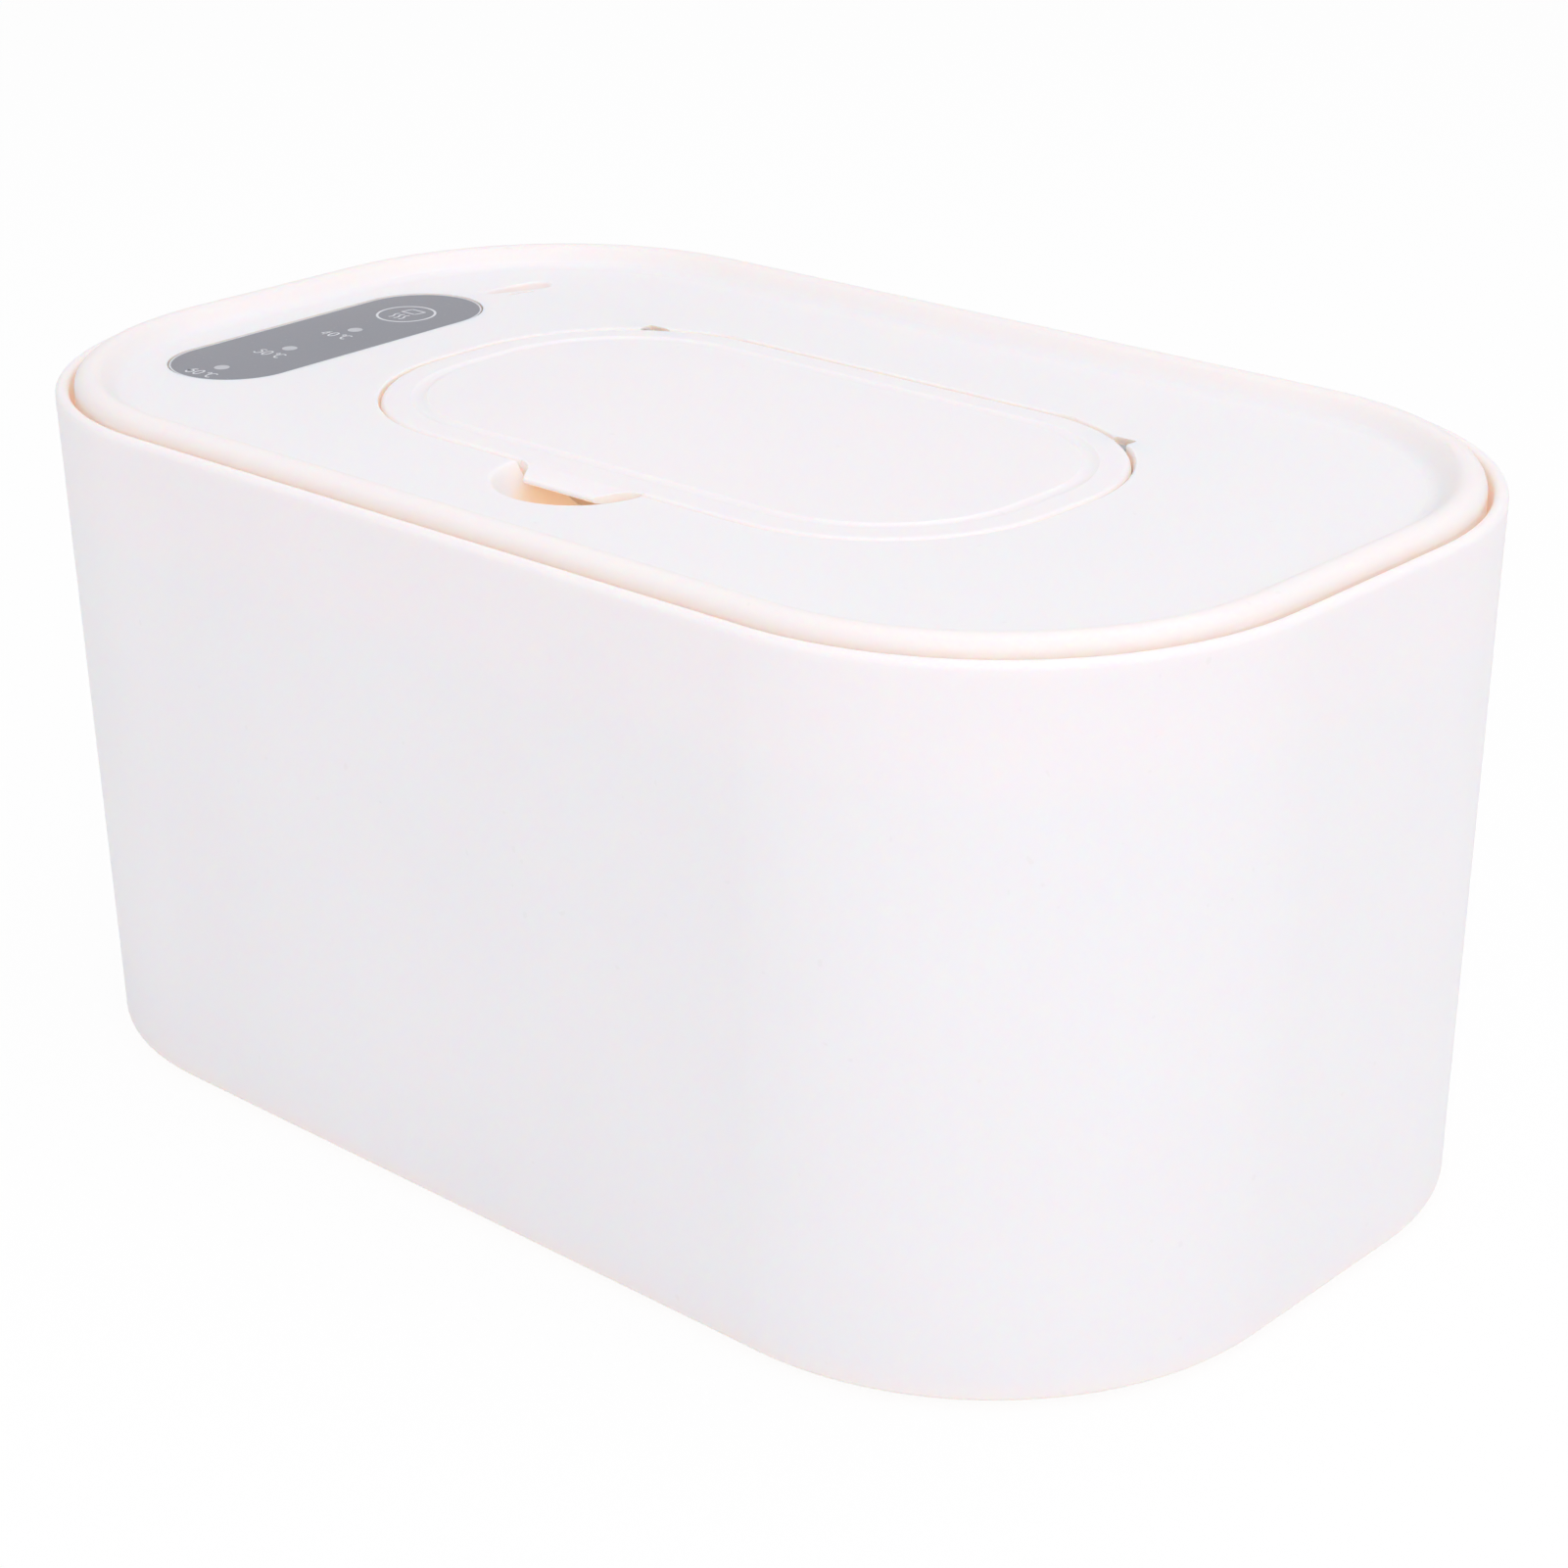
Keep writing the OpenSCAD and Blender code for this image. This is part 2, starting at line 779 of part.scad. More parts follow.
module contact_block() {
    color(black)
        difference() {
            translate([-cx - contact_r, 0, flange_z - contact_deep / 2])
                cube([contact_w, contact_l, contact_deep], center = true);
            contact_row()
                translate([0, 0, flange_z])
                    cylinder(h = 2 * contact_pad_t, r = contact_pad_r, center = true);
        }
}

module contact_pads() {
    color(copper_tan)
        contact_row()
            translate([0, 0, flange_z - contact_pad_t])
                cylinder(h = contact_pad_t, r = contact_pad_r - close_fit);
}

module pin_block() {
    color(black)
        difference() {
            translate([-cx - contact_r, 0, lid_under + pin_block_h / 2])
                cube([contact_w, contact_l, pin_block_h], center = true);
            contact_row()
                translate([0, 0, lid_under - past])
                    cylinder(h = pin_block_h - past, r = contact_pin_r + close_fit);
        }
}

module spring_pins() {
    color(copper_tan)
        contact_row()
            translate([0, 0, flange_z + seal_lift])
                cylinder(h = pin_block_h - past, r = contact_pin_r);
}

// Leads

module heater_leads() {
    z = power_board_top + lead_r + close_fit;
    start_y = inlet_back - lead_bend;
    color(lead_red)
        for (k = [0, 1])
            translate([k * lead_pitch, 0, 0])
                lead([[-inlet_x, start_y + lead_bend, z], [-inlet_x, lead_run_y, z],
                    [-inlet_x, lead_run_y, film_under]]);
}

module lid_leads() {
    z = power_board_top + lead_r + close_fit;
    rise_x = -cx - (sleeve_r + ledge_r) / 2;
    start_x = -inlet_x - power_board_l / 2 + lead_pitch;
    start_y = inlet_back + inlet_l - power_board_w - close_fit;
    end_y = contact_pitch * (contact_n - 1) / 2;
    color(lead_grey)
        for (k = [0, 1])
            translate([0, -k * lead_pitch, 0])
                lead([[start_x + k * lead_pitch, start_y + k * lead_pitch, z - board_t],
                    [start_x + k * lead_pitch, end_y, z - board_t],
                    [rise_x, end_y, z - board_t], [rise_x, end_y, flange_z - flange_t]]);
}

module board_leads() {
    color(lead_grey)
        for (k = [0, 1])
            translate([0, k * lead_pitch, 0])
                wire([-cx - contact_r + contact_w / 2, 0, liner_top + lead_r + close_fit],
                    [-panel_x - board_w / 2 + lead_pitch, 0, liner_top + lead_r + close_fit]);
}

// Lid

module bead_profile() {
    on_crest = crest_c + edge_r * bead_normal;
    on_hollow = hollow_c - bead_foot_r * bead_normal;
    difference() {
        union() {
            translate(crest_c)
                circle(edge_r);
            translate([skirt_in_r, lid_under])
                square([lid_wall, crest_c.y - lid_under]);
            difference() {
                polygon([[flat_r - fuse, plate_z - lid_wall], [lid_r, plate_z - lid_wall],
                    [lid_r, crest_c.y], crest_c, on_crest, on_hollow, [flat_r, plate_z],
                    [flat_r - fuse, plate_z]]);
                translate(hollow_c)
                    circle(bead_foot_r);
            }
        }
        translate([skirt_in_r - lid_wall, lid_under - past])
            square([lid_wall, crest_c.y - lid_under + past]);
    }
}

// The opening in the lid's flat for the door
module door_opening(grow) {
    outline(dcx, dcy, door_r + door_gap + grow);
}

// The round upper edge of that opening
module opening_edge_profile() {
    r = door_r + door_gap;
    difference() {
        translate([r - past, plate_z - opening_edge_r])
            square([past + opening_edge_r, opening_edge_r + past]);
        translate([r + opening_edge_r, plate_z - opening_edge_r])
            circle(opening_edge_r);
    }
}

module behind(y) {
    translate([-door_l, y])
        square([2 * door_l, door_w]);
}

module well_solid() {
    slab(lid_under, rest_z)
        outline(dcx, dcy, well_r + lid_wall);
    slab(lid_under, plate_z - fuse)
        intersection() {
            door_opening(lid_wall);
            behind(trough_y - lid_wall);
        }
    slab(rest_z - rest_t, plate_z - fuse)
        door_opening(lid_wall);
}

module well_space() {
    slab(rest_z, plate_z + past)
        door_opening(0);
    slab(well_floor, rest_z + past)
        outline(dcx, dcy, well_r);
    slab(well_floor, rest_z + past)
        intersection() {
            door_opening(0);
            behind(trough_y);
        }
}

// The bowl of the finger scoop, as a ball that meets the flat in the scoop's circle
module scoop_ball_at(r) {
    translate([0, -door_w / 2, scoop_z])
        sphere(r);
}

// The space of the finger scoop: the ball's cap, opened by the round lip
module scoop_space() {
    translate([0, -door_w / 2, 0])
        rotate_extrude()
            difference() {
                union() {
                    intersection() {
                        translate([0, scoop_z])
                            circle(scoop_ball);
                        translate([0, plate_z - 2 * scoop_d])
                            square([scoop_ball, lip_foot - plate_z + 2 * scoop_d + fuse / 4]);
                    }
                    translate([0, lip_foot])
                        square([lip_out, plate_z + past - lip_foot]);
                }
                translate([lip_out, lip_z])
                    circle(scoop_lip_r);
            }
}

// The bar of the lift notch, from its ball end up to the front
module notch_bar(r) {
    translate([-notch_x, notch_y, plate_z - notch_d + notch_ball])
        rotate([0, 0, -notch_turn])
            rotate([90 - notch_fall, 0, 0])
                rotate_extrude() {
                    square([r, 2 * notch_l]);
                    intersection() {
                        circle(r);
                        translate([0, -r])
                            square(r);
                    }
                }
}

module notch_space() {
    notch_bar(notch_ball);
    translate([-notch_x, notch_y, plate_z - slit_d])
        rotate(-notch_turn)
            translate([slit_side, -slit_back, 0])
                cube([slit_w, slit_l, slit_d + past]);
}

module lid_post(p) {
    translate([p.x, p.y, liner_top])
        cylinder(h = plate_z - lid_wall - liner_top + fuse, r = lid_post_r);
}

module on_panel(pos, side = 0) {
    translate([-panel_x, -panel_y, 0])
        rotate(panel_turn)
            translate([side, pos, 0])
                children();
}

module at_lamp(i) {
    on_panel(lamp_pos - i * lamp_pitch, lamp_side)
        children();
}

module lid_cover() {
    color(ivory)
        difference() {
            union() {
                around(cx, cy)
                    bead_profile();
                slab(plate_z - lid_wall, plate_z)
                    outline(cx, cy, flat_r);
                well_solid();
                intersection() {
                    scoop_ball_at(scoop_ball + lid_wall);
                    slab(lid_under, plate_z - fuse)
                        outline(cx, cy, flat_r);
                }
                intersection() {
                    both_ends()
                        axis_rod(opening_end, opening_end + pin_boss_l, pin_boss_r);
                    slab(lid_under, plate_z - fuse)
                        outline(cx, cy, flat_r);
                }
                intersection() {
                    notch_bar(notch_ball + notch_wall);
                    slab(lid_under, plate_z - fuse)
                        outline(cx, cy, flat_r);
                }
                for (p = lid_posts)
                    lid_post(p);
                for (s = [-1, 1])
                    on_panel(s * board_post_pos)
                        translate([0, 0, board_top])
                            cylinder(h = board_drop + fuse, r = board_post_r);
            }
            well_space();
            slab(lid_under - past, well_floor + past)
                outline(dcx, dcy, hole_r);
            around(dcx, dcy)
                opening_edge_profile();
            scoop_space();
            both_ends() {
                axis_rod(pin_in, pin_out, hinge_pin_d / 2 + close_fit / 2);
                axis_rod(knuckle_end - knuckle_l, swing_end, swing_r);
            }
            notch_space();
            for (p = lid_posts)
                translate([p.x, p.y, liner_top - past])
                    cylinder(h = lid_screw_l + past, r = lid_screw_r + close_fit);
            on_panel(0)
                slab(panel_bed, plate_z + past)
                    rotate(90)
                        stadium(panel_l, panel_w);
            on_panel(key_pos)
                slab(plate_z - lid_wall - past, plate_z)
                    circle(touch_pad_d / 2 + fit);
            for (i = [0 : 2])
                at_lamp(i)
                    slab(plate_z - lid_wall - past, plate_z)
                        circle(lamp_d / 2 + close_fit);
            for (s = [-1, 1])
                on_panel(s * board_post_pos)
                    translate([0, 0, board_top - past])
                        cylinder(h = board_drop + past, r = board_screw_r + close_fit);
        }
    // The collar that the door's seal closes on
    color(ivory)
        slab(well_floor - fuse, well_floor + collar_h)
            ring(dcx, dcy, collar_r - collar_wall, collar_r);
}

module lid_liner() {
    color(soft_white)
        difference() {
            slab(lid_under, liner_top)
                difference() {
                    outline(cx, cy, skirt_in_r - fit);
                    outline(dcx, dcy, well_r + lid_wall + fit);
                    intersection() {
                        door_opening(lid_wall + fit);
                        behind(trough_y - lid_wall - fit);
                    }
                    translate([-cx - contact_r, 0])
                        square([contact_w + 2 * close_fit, contact_l + 2 * close_fit], center = true);
                }
            slab(lid_under - past, lid_under + seal_deep)
                ring(cx, cy, seal_in_r - close_fit, seal_out_r + close_fit);
            for (p = lid_posts)
                translate([p.x, p.y, lid_under - past]) {
                    cylinder(h = lid_head_h + past, r = lid_head_r + close_fit);
                    cylinder(h = liner_t + 2 * past, r = lid_screw_r + close_fit);
                }
            scoop_ball_at(scoop_ball + lid_wall + fit);
        }
}

module lid_seal() {
    color(rubber_grey)
        slab(flange_z + seal_lift, lid_under + seal_deep)
            ring(cx, cy, seal_in_r, seal_out_r);
}

module lid_screws() {
    color(steel)
        for (p = lid_posts)
            translate([p.x, p.y, lid_under])
                screw(lid_screw_r, lid_screw_l, lid_head_r, lid_head_h);
}

// Touch panel and its board

module touch_panel() {
    color(panel_grey)
        on_panel(0)
            slab(panel_bed, panel_bed + panel_t)
                rotate(90)
                    stadium(panel_l - 2 * fit, panel_w - 2 * fit);
}

module control_board() {
    color(board_green)
        on_panel(0)
            slab(board_top - board_t, board_top)
                difference() {
                    square([board_w, board_l], center = true);
                    for (s = [-1, 1])
                        translate([0, s * board_post_pos])
                            circle(board_screw_r + close_fit);
                }
}

module board_screws() {
    color(steel)
        for (s = [-1, 1])
            on_panel(s * board_post_pos)
                translate([0, 0, board_top - board_t - board_head_h])
                    screw(board_screw_r, board_t + board_drop / 2, board_post_r, board_head_h);
}

module status_lamps() {
    color(soft_white)
        for (i = [0 : 2])
            at_lamp(i)
                translate([0, 0, board_top + lamp_h / 2])
                    cube([lamp_body, 2 * lamp_body, lamp_h], center = true);
}

// A light guide: a clear rod with a flange under the lid's flat
module light_guide(i) {
    color(clear)
        at_lamp(i) {
            slab(board_top + lamp_h, panel_bed)
                circle(lamp_d / 2);
            slab(plate_z - lid_wall - lamp_h, plate_z - lid_wall)
                circle(guide_flange_r);
        }
}

module light_guide_40() { light_guide(0); }
module light_guide_50() { light_guide(1); }
module light_guide_60() { light_guide(2); }

module touch_pad() {
    color(foam_grey)
        on_panel(key_pos)
            slab(board_top, panel_bed)
                circle(touch_pad_d / 2);
}

// Soft insert with its raised lip, through the hole in the floor of the well
module dispensing_insert() {
    color(silicone)
        difference() {
            union() {
                slab(well_floor, well_floor + insert_t)
                    outline(dcx, dcy, collar_r - collar_wall - close_fit);
                slab(lid_under, well_floor + fuse)
                    outline(dcx, dcy, hole_r - close_fit);
                slab(well_floor, well_floor + 2 * insert_t)
                    stadium(mouth_l + 2 * insert_t, mouth_w + 2 * insert_t);
            }
            slab(lid_under - past, well_floor + 2 * insert_t + past)
                stadium(mouth_l, mouth_w);
            slab(lid_under - past, well_floor)
                outline(dcx, dcy, hole_r - insert_t);
        }
}

// Door

module hinge_pin() {
    color(steel)
        axis_rod(pin_in, pin_out, hinge_pin_d / 2);
}

module hinge_pin_right() { hinge_pin(); }
module hinge_pin_left() { mirror([1, 0, 0]) hinge_pin(); }

module door_edge_profile() {
    z0 = plate_z - door_t;
    in_r = door_r - groove_inset - groove_w;
    groove_ball = ball_of(groove_w / 2, groove_d);
    difference() {
        union() {
            translate([in_r, z0])
                square([door_r - door_edge_r - in_r, door_t]);
            translate([in_r, z0])
                square([door_r - in_r, door_t - door_edge_r]);
            translate([door_r - door_edge_r, plate_z - door_edge_r])
                circle(door_edge_r);
        }
        translate([door_r - groove_inset, plate_z - groove_d + groove_ball])
            circle(groove_ball);
    }
}

// Plan of the finger tab: slanted sides that run into the door in hollow curves
module tab_plan(y0, root) {
    slant = atan2(tab_l, (tab_root_w - tab_tip_w) / 2);
    reach = tab_hollow_r * tan(slant / 2);
    wide = tab_root_w / 2 + reach;
    side = [tab_root_w / 2 - reach * cos(slant), y0 - reach * sin(slant)];
    difference() {
        polygon([[-wide, y0 + root], [wide, y0 + root], [wide, y0], side,
            [tab_tip_w / 2, y0 - tab_l], [-tab_tip_w / 2, y0 - tab_l],
            [-side.x, side.y], [-wide, y0]]);
        for (s = [-1, 1])
            translate([s * wide, y0 - tab_hollow_r + tab_blend])
                circle(tab_hollow_r);
    }
}

// The finger tab: its plan, cut from a strip that dips to the front, clear of the scoop
module finger_tab() {
    y0 = -door_w / 2;
    root = 2 * tab_edge_r;
    intersection() {
        slab(plate_z - door_t - tab_dip, plate_z)
            tab_plan(y0, root);
        scoop_ball_at(scoop_ball - door_gap);
        translate([-tab_root_w, 0, 0])
            rotate([90, 0, 90])
                linear_extrude(2 * tab_root_w) {
                    y1 = y0 - tab_l + tab_edge_r;
                    z1 = plate_z - tab_dip;
                    polygon([[y0 + root, plate_z - door_t], [y0 + root, plate_z], [y0, plate_z],
                        [y1, z1], [y1, z1 - 2 * tab_edge_r], [y0, plate_z - door_t]]);
                    translate([y1, z1 - tab_edge_r])
                        circle(tab_edge_r);
                }
    }
}

module flip_door() {
    color(ivory)
        difference() {
            union() {
                around(dcx, dcy)
                    door_edge_profile();
                slab(plate_z - door_t, plate_z)
                    outline(dcx, dcy, door_r - groove_inset - groove_w + fuse / 2);
                finger_tab();
                both_ends()
                    intersection() {
                        axis_rod(knuckle_end - knuckle_l, knuckle_end, knuckle_r);
                        slab(hinge_z - knuckle_r, plate_z - door_edge_r / 2)
                            square([2 * door_l, 2 * door_w], center = true);
                    }
            }
            both_ends()
                axis_rod(pin_in - fit, pin_out, hinge_pin_d / 2 + pin_clear);
        }
}

module door_liner() {
    color(soft_white)
        difference() {
            slab(door_liner_z, plate_z - door_t)
                outline(dcx, dcy, door_liner_r);
            slab(door_liner_z - past, door_liner_z + door_seal_deep)
                ring(dcx, dcy, door_seal_in_r - close_fit, door_seal_out_r + close_fit);
        }
}

module door_seal() {
    color(silicone)
        slab(well_floor + collar_h + seal_lift, door_liner_z + door_seal_deep)
            ring(dcx, dcy, door_seal_in_r, door_seal_out_r);
}

outer_shell();
inner_bin();
heat_spreader();
heating_film();
insulation_pad();
insulation_sleeve();
temperature_sensor();
thermal_fuse();
power_board();
power_inlet();
base_cover();
base_screws();
foot_front_left();
foot_front_right();
foot_rear_left();
foot_rear_right();
contact_block();
contact_pads();
heater_leads();
lid_leads();
lid_cover();
lid_liner();
lid_seal();
lid_screws();
touch_panel();
control_board();
board_screws();
status_lamps();
light_guide_40();
light_guide_50();
light_guide_60();
touch_pad();
pin_block();
spring_pins();
board_leads();
dispensing_insert();
hinge_pin_left();
hinge_pin_right();
flip_door();
door_liner();
door_seal();
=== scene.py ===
"""Looks of the baby wipe warmer: plastics, printed touch panel, floor, light, camera."""

import math

import bmesh
import bpy
from mathutils import Matrix, Vector
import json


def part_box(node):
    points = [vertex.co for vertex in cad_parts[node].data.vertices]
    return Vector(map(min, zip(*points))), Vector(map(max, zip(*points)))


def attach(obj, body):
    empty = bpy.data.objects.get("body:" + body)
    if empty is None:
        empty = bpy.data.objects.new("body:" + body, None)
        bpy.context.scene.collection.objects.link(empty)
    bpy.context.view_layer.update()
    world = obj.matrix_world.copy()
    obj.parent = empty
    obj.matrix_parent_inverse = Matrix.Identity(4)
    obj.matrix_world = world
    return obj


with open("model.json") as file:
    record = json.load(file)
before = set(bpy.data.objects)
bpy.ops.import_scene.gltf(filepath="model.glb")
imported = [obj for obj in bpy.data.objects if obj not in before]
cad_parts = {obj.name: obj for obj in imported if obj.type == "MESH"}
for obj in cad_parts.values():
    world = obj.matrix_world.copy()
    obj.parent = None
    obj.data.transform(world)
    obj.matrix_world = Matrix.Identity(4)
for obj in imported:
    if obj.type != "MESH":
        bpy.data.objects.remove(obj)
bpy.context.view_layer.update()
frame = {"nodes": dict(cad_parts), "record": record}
scene = bpy.context.scene
MM = 0.001


# Shader maths


class Tree:
    """The shader nodes of a material or of the world, made by expressions on sockets."""

    def __init__(self, owner):
        owner.use_nodes = True
        self.owner = owner
        self.nodes = owner.node_tree.nodes
        self.links = owner.node_tree.links
        self.nodes.clear()

    def node(self, kind, settings=None, **sockets):
        """A node of a type, with its settings, then the values or links of its sockets.
        A socket goes by its own name, in small letters with underscores, or as in_0."""
        made = self.nodes.new("ShaderNode" + kind)
        for key, value in (settings or {}).items():
            setattr(made, key, value)
        for key, value in sockets.items():
            if key.startswith("in_"):
                target = made.inputs[int(key[3:])]
            else:
                wanted = key.replace("_", " ")
                target = next(
                    s for s in made.inputs if s.name.lower() == wanted and s.enabled
                )
            if isinstance(value, Wire):
                self.links.new(value.socket, target)
            else:
                target.default_value = value
        return made

    def out(self, kind, output, settings=None, **sockets):
        """One output of a new node, ready for expressions."""
        made = self.node(kind, settings, **sockets)
        socket = next(s for s in made.outputs if s.name == output and s.enabled)
        return Wire(self, socket)

    def mix(self, factor, low, high):
        """A colour between two colours."""
        made = self.node("Mix", {"data_type": "RGBA"}, in_0=factor, in_6=low, in_7=high)
        return Wire(self, made.outputs[2])

    def finish(self, shader, output="OutputMaterial"):
        """Shows a shader on the surface, and gives back the material or world."""
        self.node(output, surface=shader)
        return self.owner


class Wire:
    """A socket that can be written in an expression."""

    def __init__(self, tree, socket):
        self.tree = tree
        self.socket = socket

    def math(self, operation, *values):
        given = {f"in_{i}": v for i, v in enumerate(values)}
        return self.tree.out("Math", "Value", {"operation": operation}, **given)

    def __add__(self, other):
        return self.math("ADD", self, other)

    def __sub__(self, other):
        return self.math("SUBTRACT", self, other)

    def __rsub__(self, other):
        return self.math("SUBTRACT", other, self)

    def __mul__(self, other):
        return self.math("MULTIPLY", self, other)

    __radd__ = __add__
    __rmul__ = __mul__

    def between(self, low, high):
        """0 below low, 1 above high, and smooth between them."""
        return self.tree.out(
            "MapRange",
            "Result",
            {"interpolation_type": "SMOOTHSTEP"},
            value=self,
            from_min=low,
            from_max=high,
        )


def noise(tree, where, scale, detail):
    return tree.out("TexNoise", "Fac", vector=where, scale=scale, detail=detail)


def rgb(red, green, blue):
    return (red, green, blue, 1.0)


# Finishes

WHITE = rgb(1, 1, 1)
BLACK = rgb(0, 0, 0)

# The lid's upper face, the finger scoop with the well behind it, and the lift notch,
# which place the painted shade and painted glow of the shell
door_low, door_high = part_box("flip_door")
FACE_Z = door_high.z
SCOOP_MID = Vector((0, door_low.y + 4.5 * MM, FACE_Z))
SCOOP_R = 14 * MM
BEHIND_R = 24 * MM
NOTCH_MID = Vector((-79, 36, 109.2)) * MM
NOTCH_R = 12 * MM

# The shell's own colour, then painted shade on the raised crest, in corners, deep in
# gaps, in the lift notch and deep in the finger scoop, a painted glow in deep gaps and in
# the scoop, and real dust and faint flow marks
IVORY = rgb(0.886, 0.868, 0.893)
EDGE_PAINTED_SHADE = rgb(0.895, 0.855, 0.855)
CORNER_PAINTED_SHADE = rgb(0.935, 0.86, 0.825)
GAP_PAINTED_SHADE = rgb(0.97, 0.88, 0.83)
NOTCH_PAINTED_SHADE = rgb(0.855, 0.74, 0.715)
DEEP_PAINTED_SHADE = rgb(1.0, 0.78, 0.58)
GAP_PAINTED_GLOW = rgb(0.13, 0.085, 0.065)
DEEP_PAINTED_GLOW = rgb(0.18, 0.13, 0.09)
DUST = rgb(0.62, 0.60, 0.58)
CLOUDY_SHARE = 0.985

# How near a wall must be to shut in a corner or a gap, which sets where painted shade and
# painted glow go
CORNER_REACH = 5 * MM
GAP_REACH = 14 * MM


def closed_in(tree, reach):
    """How shut in a place is, from 0 in the open to 1 deep in a gap."""
    return 1 - tree.out("AmbientOcclusion", "AO", {"samples": 4}, distance=reach)


def inside_ball(tree, where, centre, radius, soft):
    """1 inside a ball and 0 outside it, with a soft edge."""
    away = tree.out(
        "VectorMath", "Value", {"operation": "DISTANCE"}, in_0=where, in_1=tuple(centre)
    )
    return 1 - away.between(radius - soft, radius)


def moulded_plastic(name, colour, gap, rough):
    """Satin moulded plastic that light sinks into: a fine eroded skin, faint flow marks,
    and painted shade: warm tones on the raised crest, in its corners, gaps and lift notch
    and deep in the finger scoop, with a painted glow in deep gaps and in the scoop."""
    tree = Tree(bpy.data.materials.new(name))
    where = tree.out("TexCoord", "Object")
    flow = noise(tree, where, 14.0, 3.0)
    skin = noise(tree, where, 2600.0, 2.0)
    pores = noise(tree, where, 900.0, 1.0)
    dust = noise(tree, where, 620.0, 0.0).between(0.84, 0.88)

    near = closed_in(tree, CORNER_REACH)
    corner = near.between(0.04, 0.45)
    shade = near.between(0.30, 0.90)
    height = tree.out("SeparateXYZ", "Z", vector=where)
    below = 1 - height.between(FACE_Z - 4.2 * MM, FACE_Z - 2.2 * MM)
    raised = height.between(FACE_Z + 0.3 * MM, FACE_Z + 2.0 * MM)
    closed = closed_in(tree, GAP_REACH)
    scooped = inside_ball(tree, where, SCOOP_MID, SCOOP_R, 2 * MM)
    scooped = scooped * closed.between(0.45, 0.70)
    behind = inside_ball(tree, where, SCOOP_MID, BEHIND_R, 3 * MM)
    behind = behind * closed.between(0.80, 0.95)
    depth = scooped.math("MAXIMUM", scooped, behind) * below
    # Painted glow: deep in gaps the surface gives off warm light, as if lit through the
    # plastic.
    glow = tree.mix(closed.between(0.86, 0.98), BLACK, GAP_PAINTED_GLOW)
    sunk = 1 - height.between(FACE_Z - 0.45 * MM, FACE_Z - 0.05 * MM)
    notched = inside_ball(tree, where, NOTCH_MID, NOTCH_R, 1 * MM) * sunk

    # Painted shade: a darker, warmer tone on the raised crest above the lid's face.
    base = tree.mix(raised, colour, EDGE_PAINTED_SHADE)
    # Painted shade: a warm tone in corners, by how shut in they are.
    base = tree.mix(corner, base, CORNER_PAINTED_SHADE)
    # Painted shade: a pale warm tone deep in gaps.
    base = tree.mix(shade, base, gap)
    # Painted shade: a pink tone in the sunk lift notch.
    base = tree.mix(notched * 0.9, base, NOTCH_PAINTED_SHADE)
    # Painted shade: tan deep in the finger scoop and the well behind it.
    base = tree.mix(depth, base, DEEP_PAINTED_SHADE)
    cloudy = rgb(*[c * CLOUDY_SHARE for c in colour[:3]])
    marks = flow.between(0.35, 0.7) * (1 - corner) * (1 - raised)
    base = tree.mix(marks, base, cloudy)
    base = tree.mix(dust * 0.10, base, DUST)

    relief = skin * 0.6 + pores * 0.4
    normal = tree.out("Bump", "Normal", strength=0.10, distance=0.012 * MM, height=relief)
    shader = tree.out(
        "BsdfPrincipled",
        "BSDF",
        {"subsurface_method": "RANDOM_WALK"},
        base_color=base,
        roughness=flow * 0.08 + (rough - 0.04),
        normal=normal,
        # Painted glow: warm light given off in deep gaps and deep in the finger scoop.
        emission_color=tree.mix(depth, glow, DEEP_PAINTED_GLOW),
        emission_strength=1.0,
        ior=1.46,
        subsurface_weight=0.8,
        subsurface_radius=(1.0, 0.55, 0.38),
        subsurface_scale=1.6 * MM,
    )
    return tree.finish(shader)


def plain_finish(name, colour, other, rough, scale, metallic=0.0, relief=0.02):
    """A matt or metal finish with a cloudy colour and a fine relief."""
    tree = Tree(bpy.data.materials.new(name))
    where = tree.out("TexCoord", "Object")
    cloud = noise(tree, where, scale, 3.0)
    fine = noise(tree, where, scale * 14, 2.0)
    shader = tree.out(
        "BsdfPrincipled",
        "BSDF",
        base_color=tree.mix(cloud.between(0.3, 0.7), colour, other),
        roughness=fine * 0.14 + (rough - 0.07),
        metallic=metallic,
        normal=tree.out(
            "Bump", "Normal", strength=0.2, distance=relief * MM, height=fine
        ),
    )
    return tree.finish(shader)


def panel_sheet(name):
    """The printed sheet of the touch panel: smoked grey under a satin clear layer."""
    tree = Tree(bpy.data.materials.new(name))
    where = tree.out("TexCoord", "Object")
    cloud = noise(tree, where, 30.0, 2.0)
    dust = noise(tree, where, 1900.0, 0.0).between(0.80, 0.84)
    base = tree.mix(
        cloud.between(0.3, 0.7), rgb(0.194, 0.201, 0.236), rgb(0.202, 0.209, 0.245)
    )
    base = tree.mix(dust * 0.2, base, rgb(0.55, 0.56, 0.58))
    fine = noise(tree, where, 2400.0, 2.0)
    shader = tree.out(
        "BsdfPrincipled",
        "BSDF",
        base_color=base,
        roughness=fine * 0.06 + 0.30,
        normal=tree.out(
            "Bump", "Normal", strength=0.08, distance=0.01 * MM, height=fine
        ),
        coat_weight=0.25,
        coat_roughness=0.25,
    )
    return tree.finish(shader)


def clear_plastic(name):
    """The clear plastic of the light guides."""
    tree = Tree(bpy.data.materials.new(name))
    where = tree.out("TexCoord", "Object")
    fine = noise(tree, where, 500.0, 2.0)
    shader = tree.out(
        "BsdfPrincipled",
        "BSDF",
        base_color=tree.mix(fine, rgb(0.86, 0.88, 0.90), rgb(0.90, 0.92, 0.94)),
        roughness=fine * 0.06 + 0.10,
        transmission_weight=0.8,
        ior=1.49,
    )
    return tree.finish(shader)


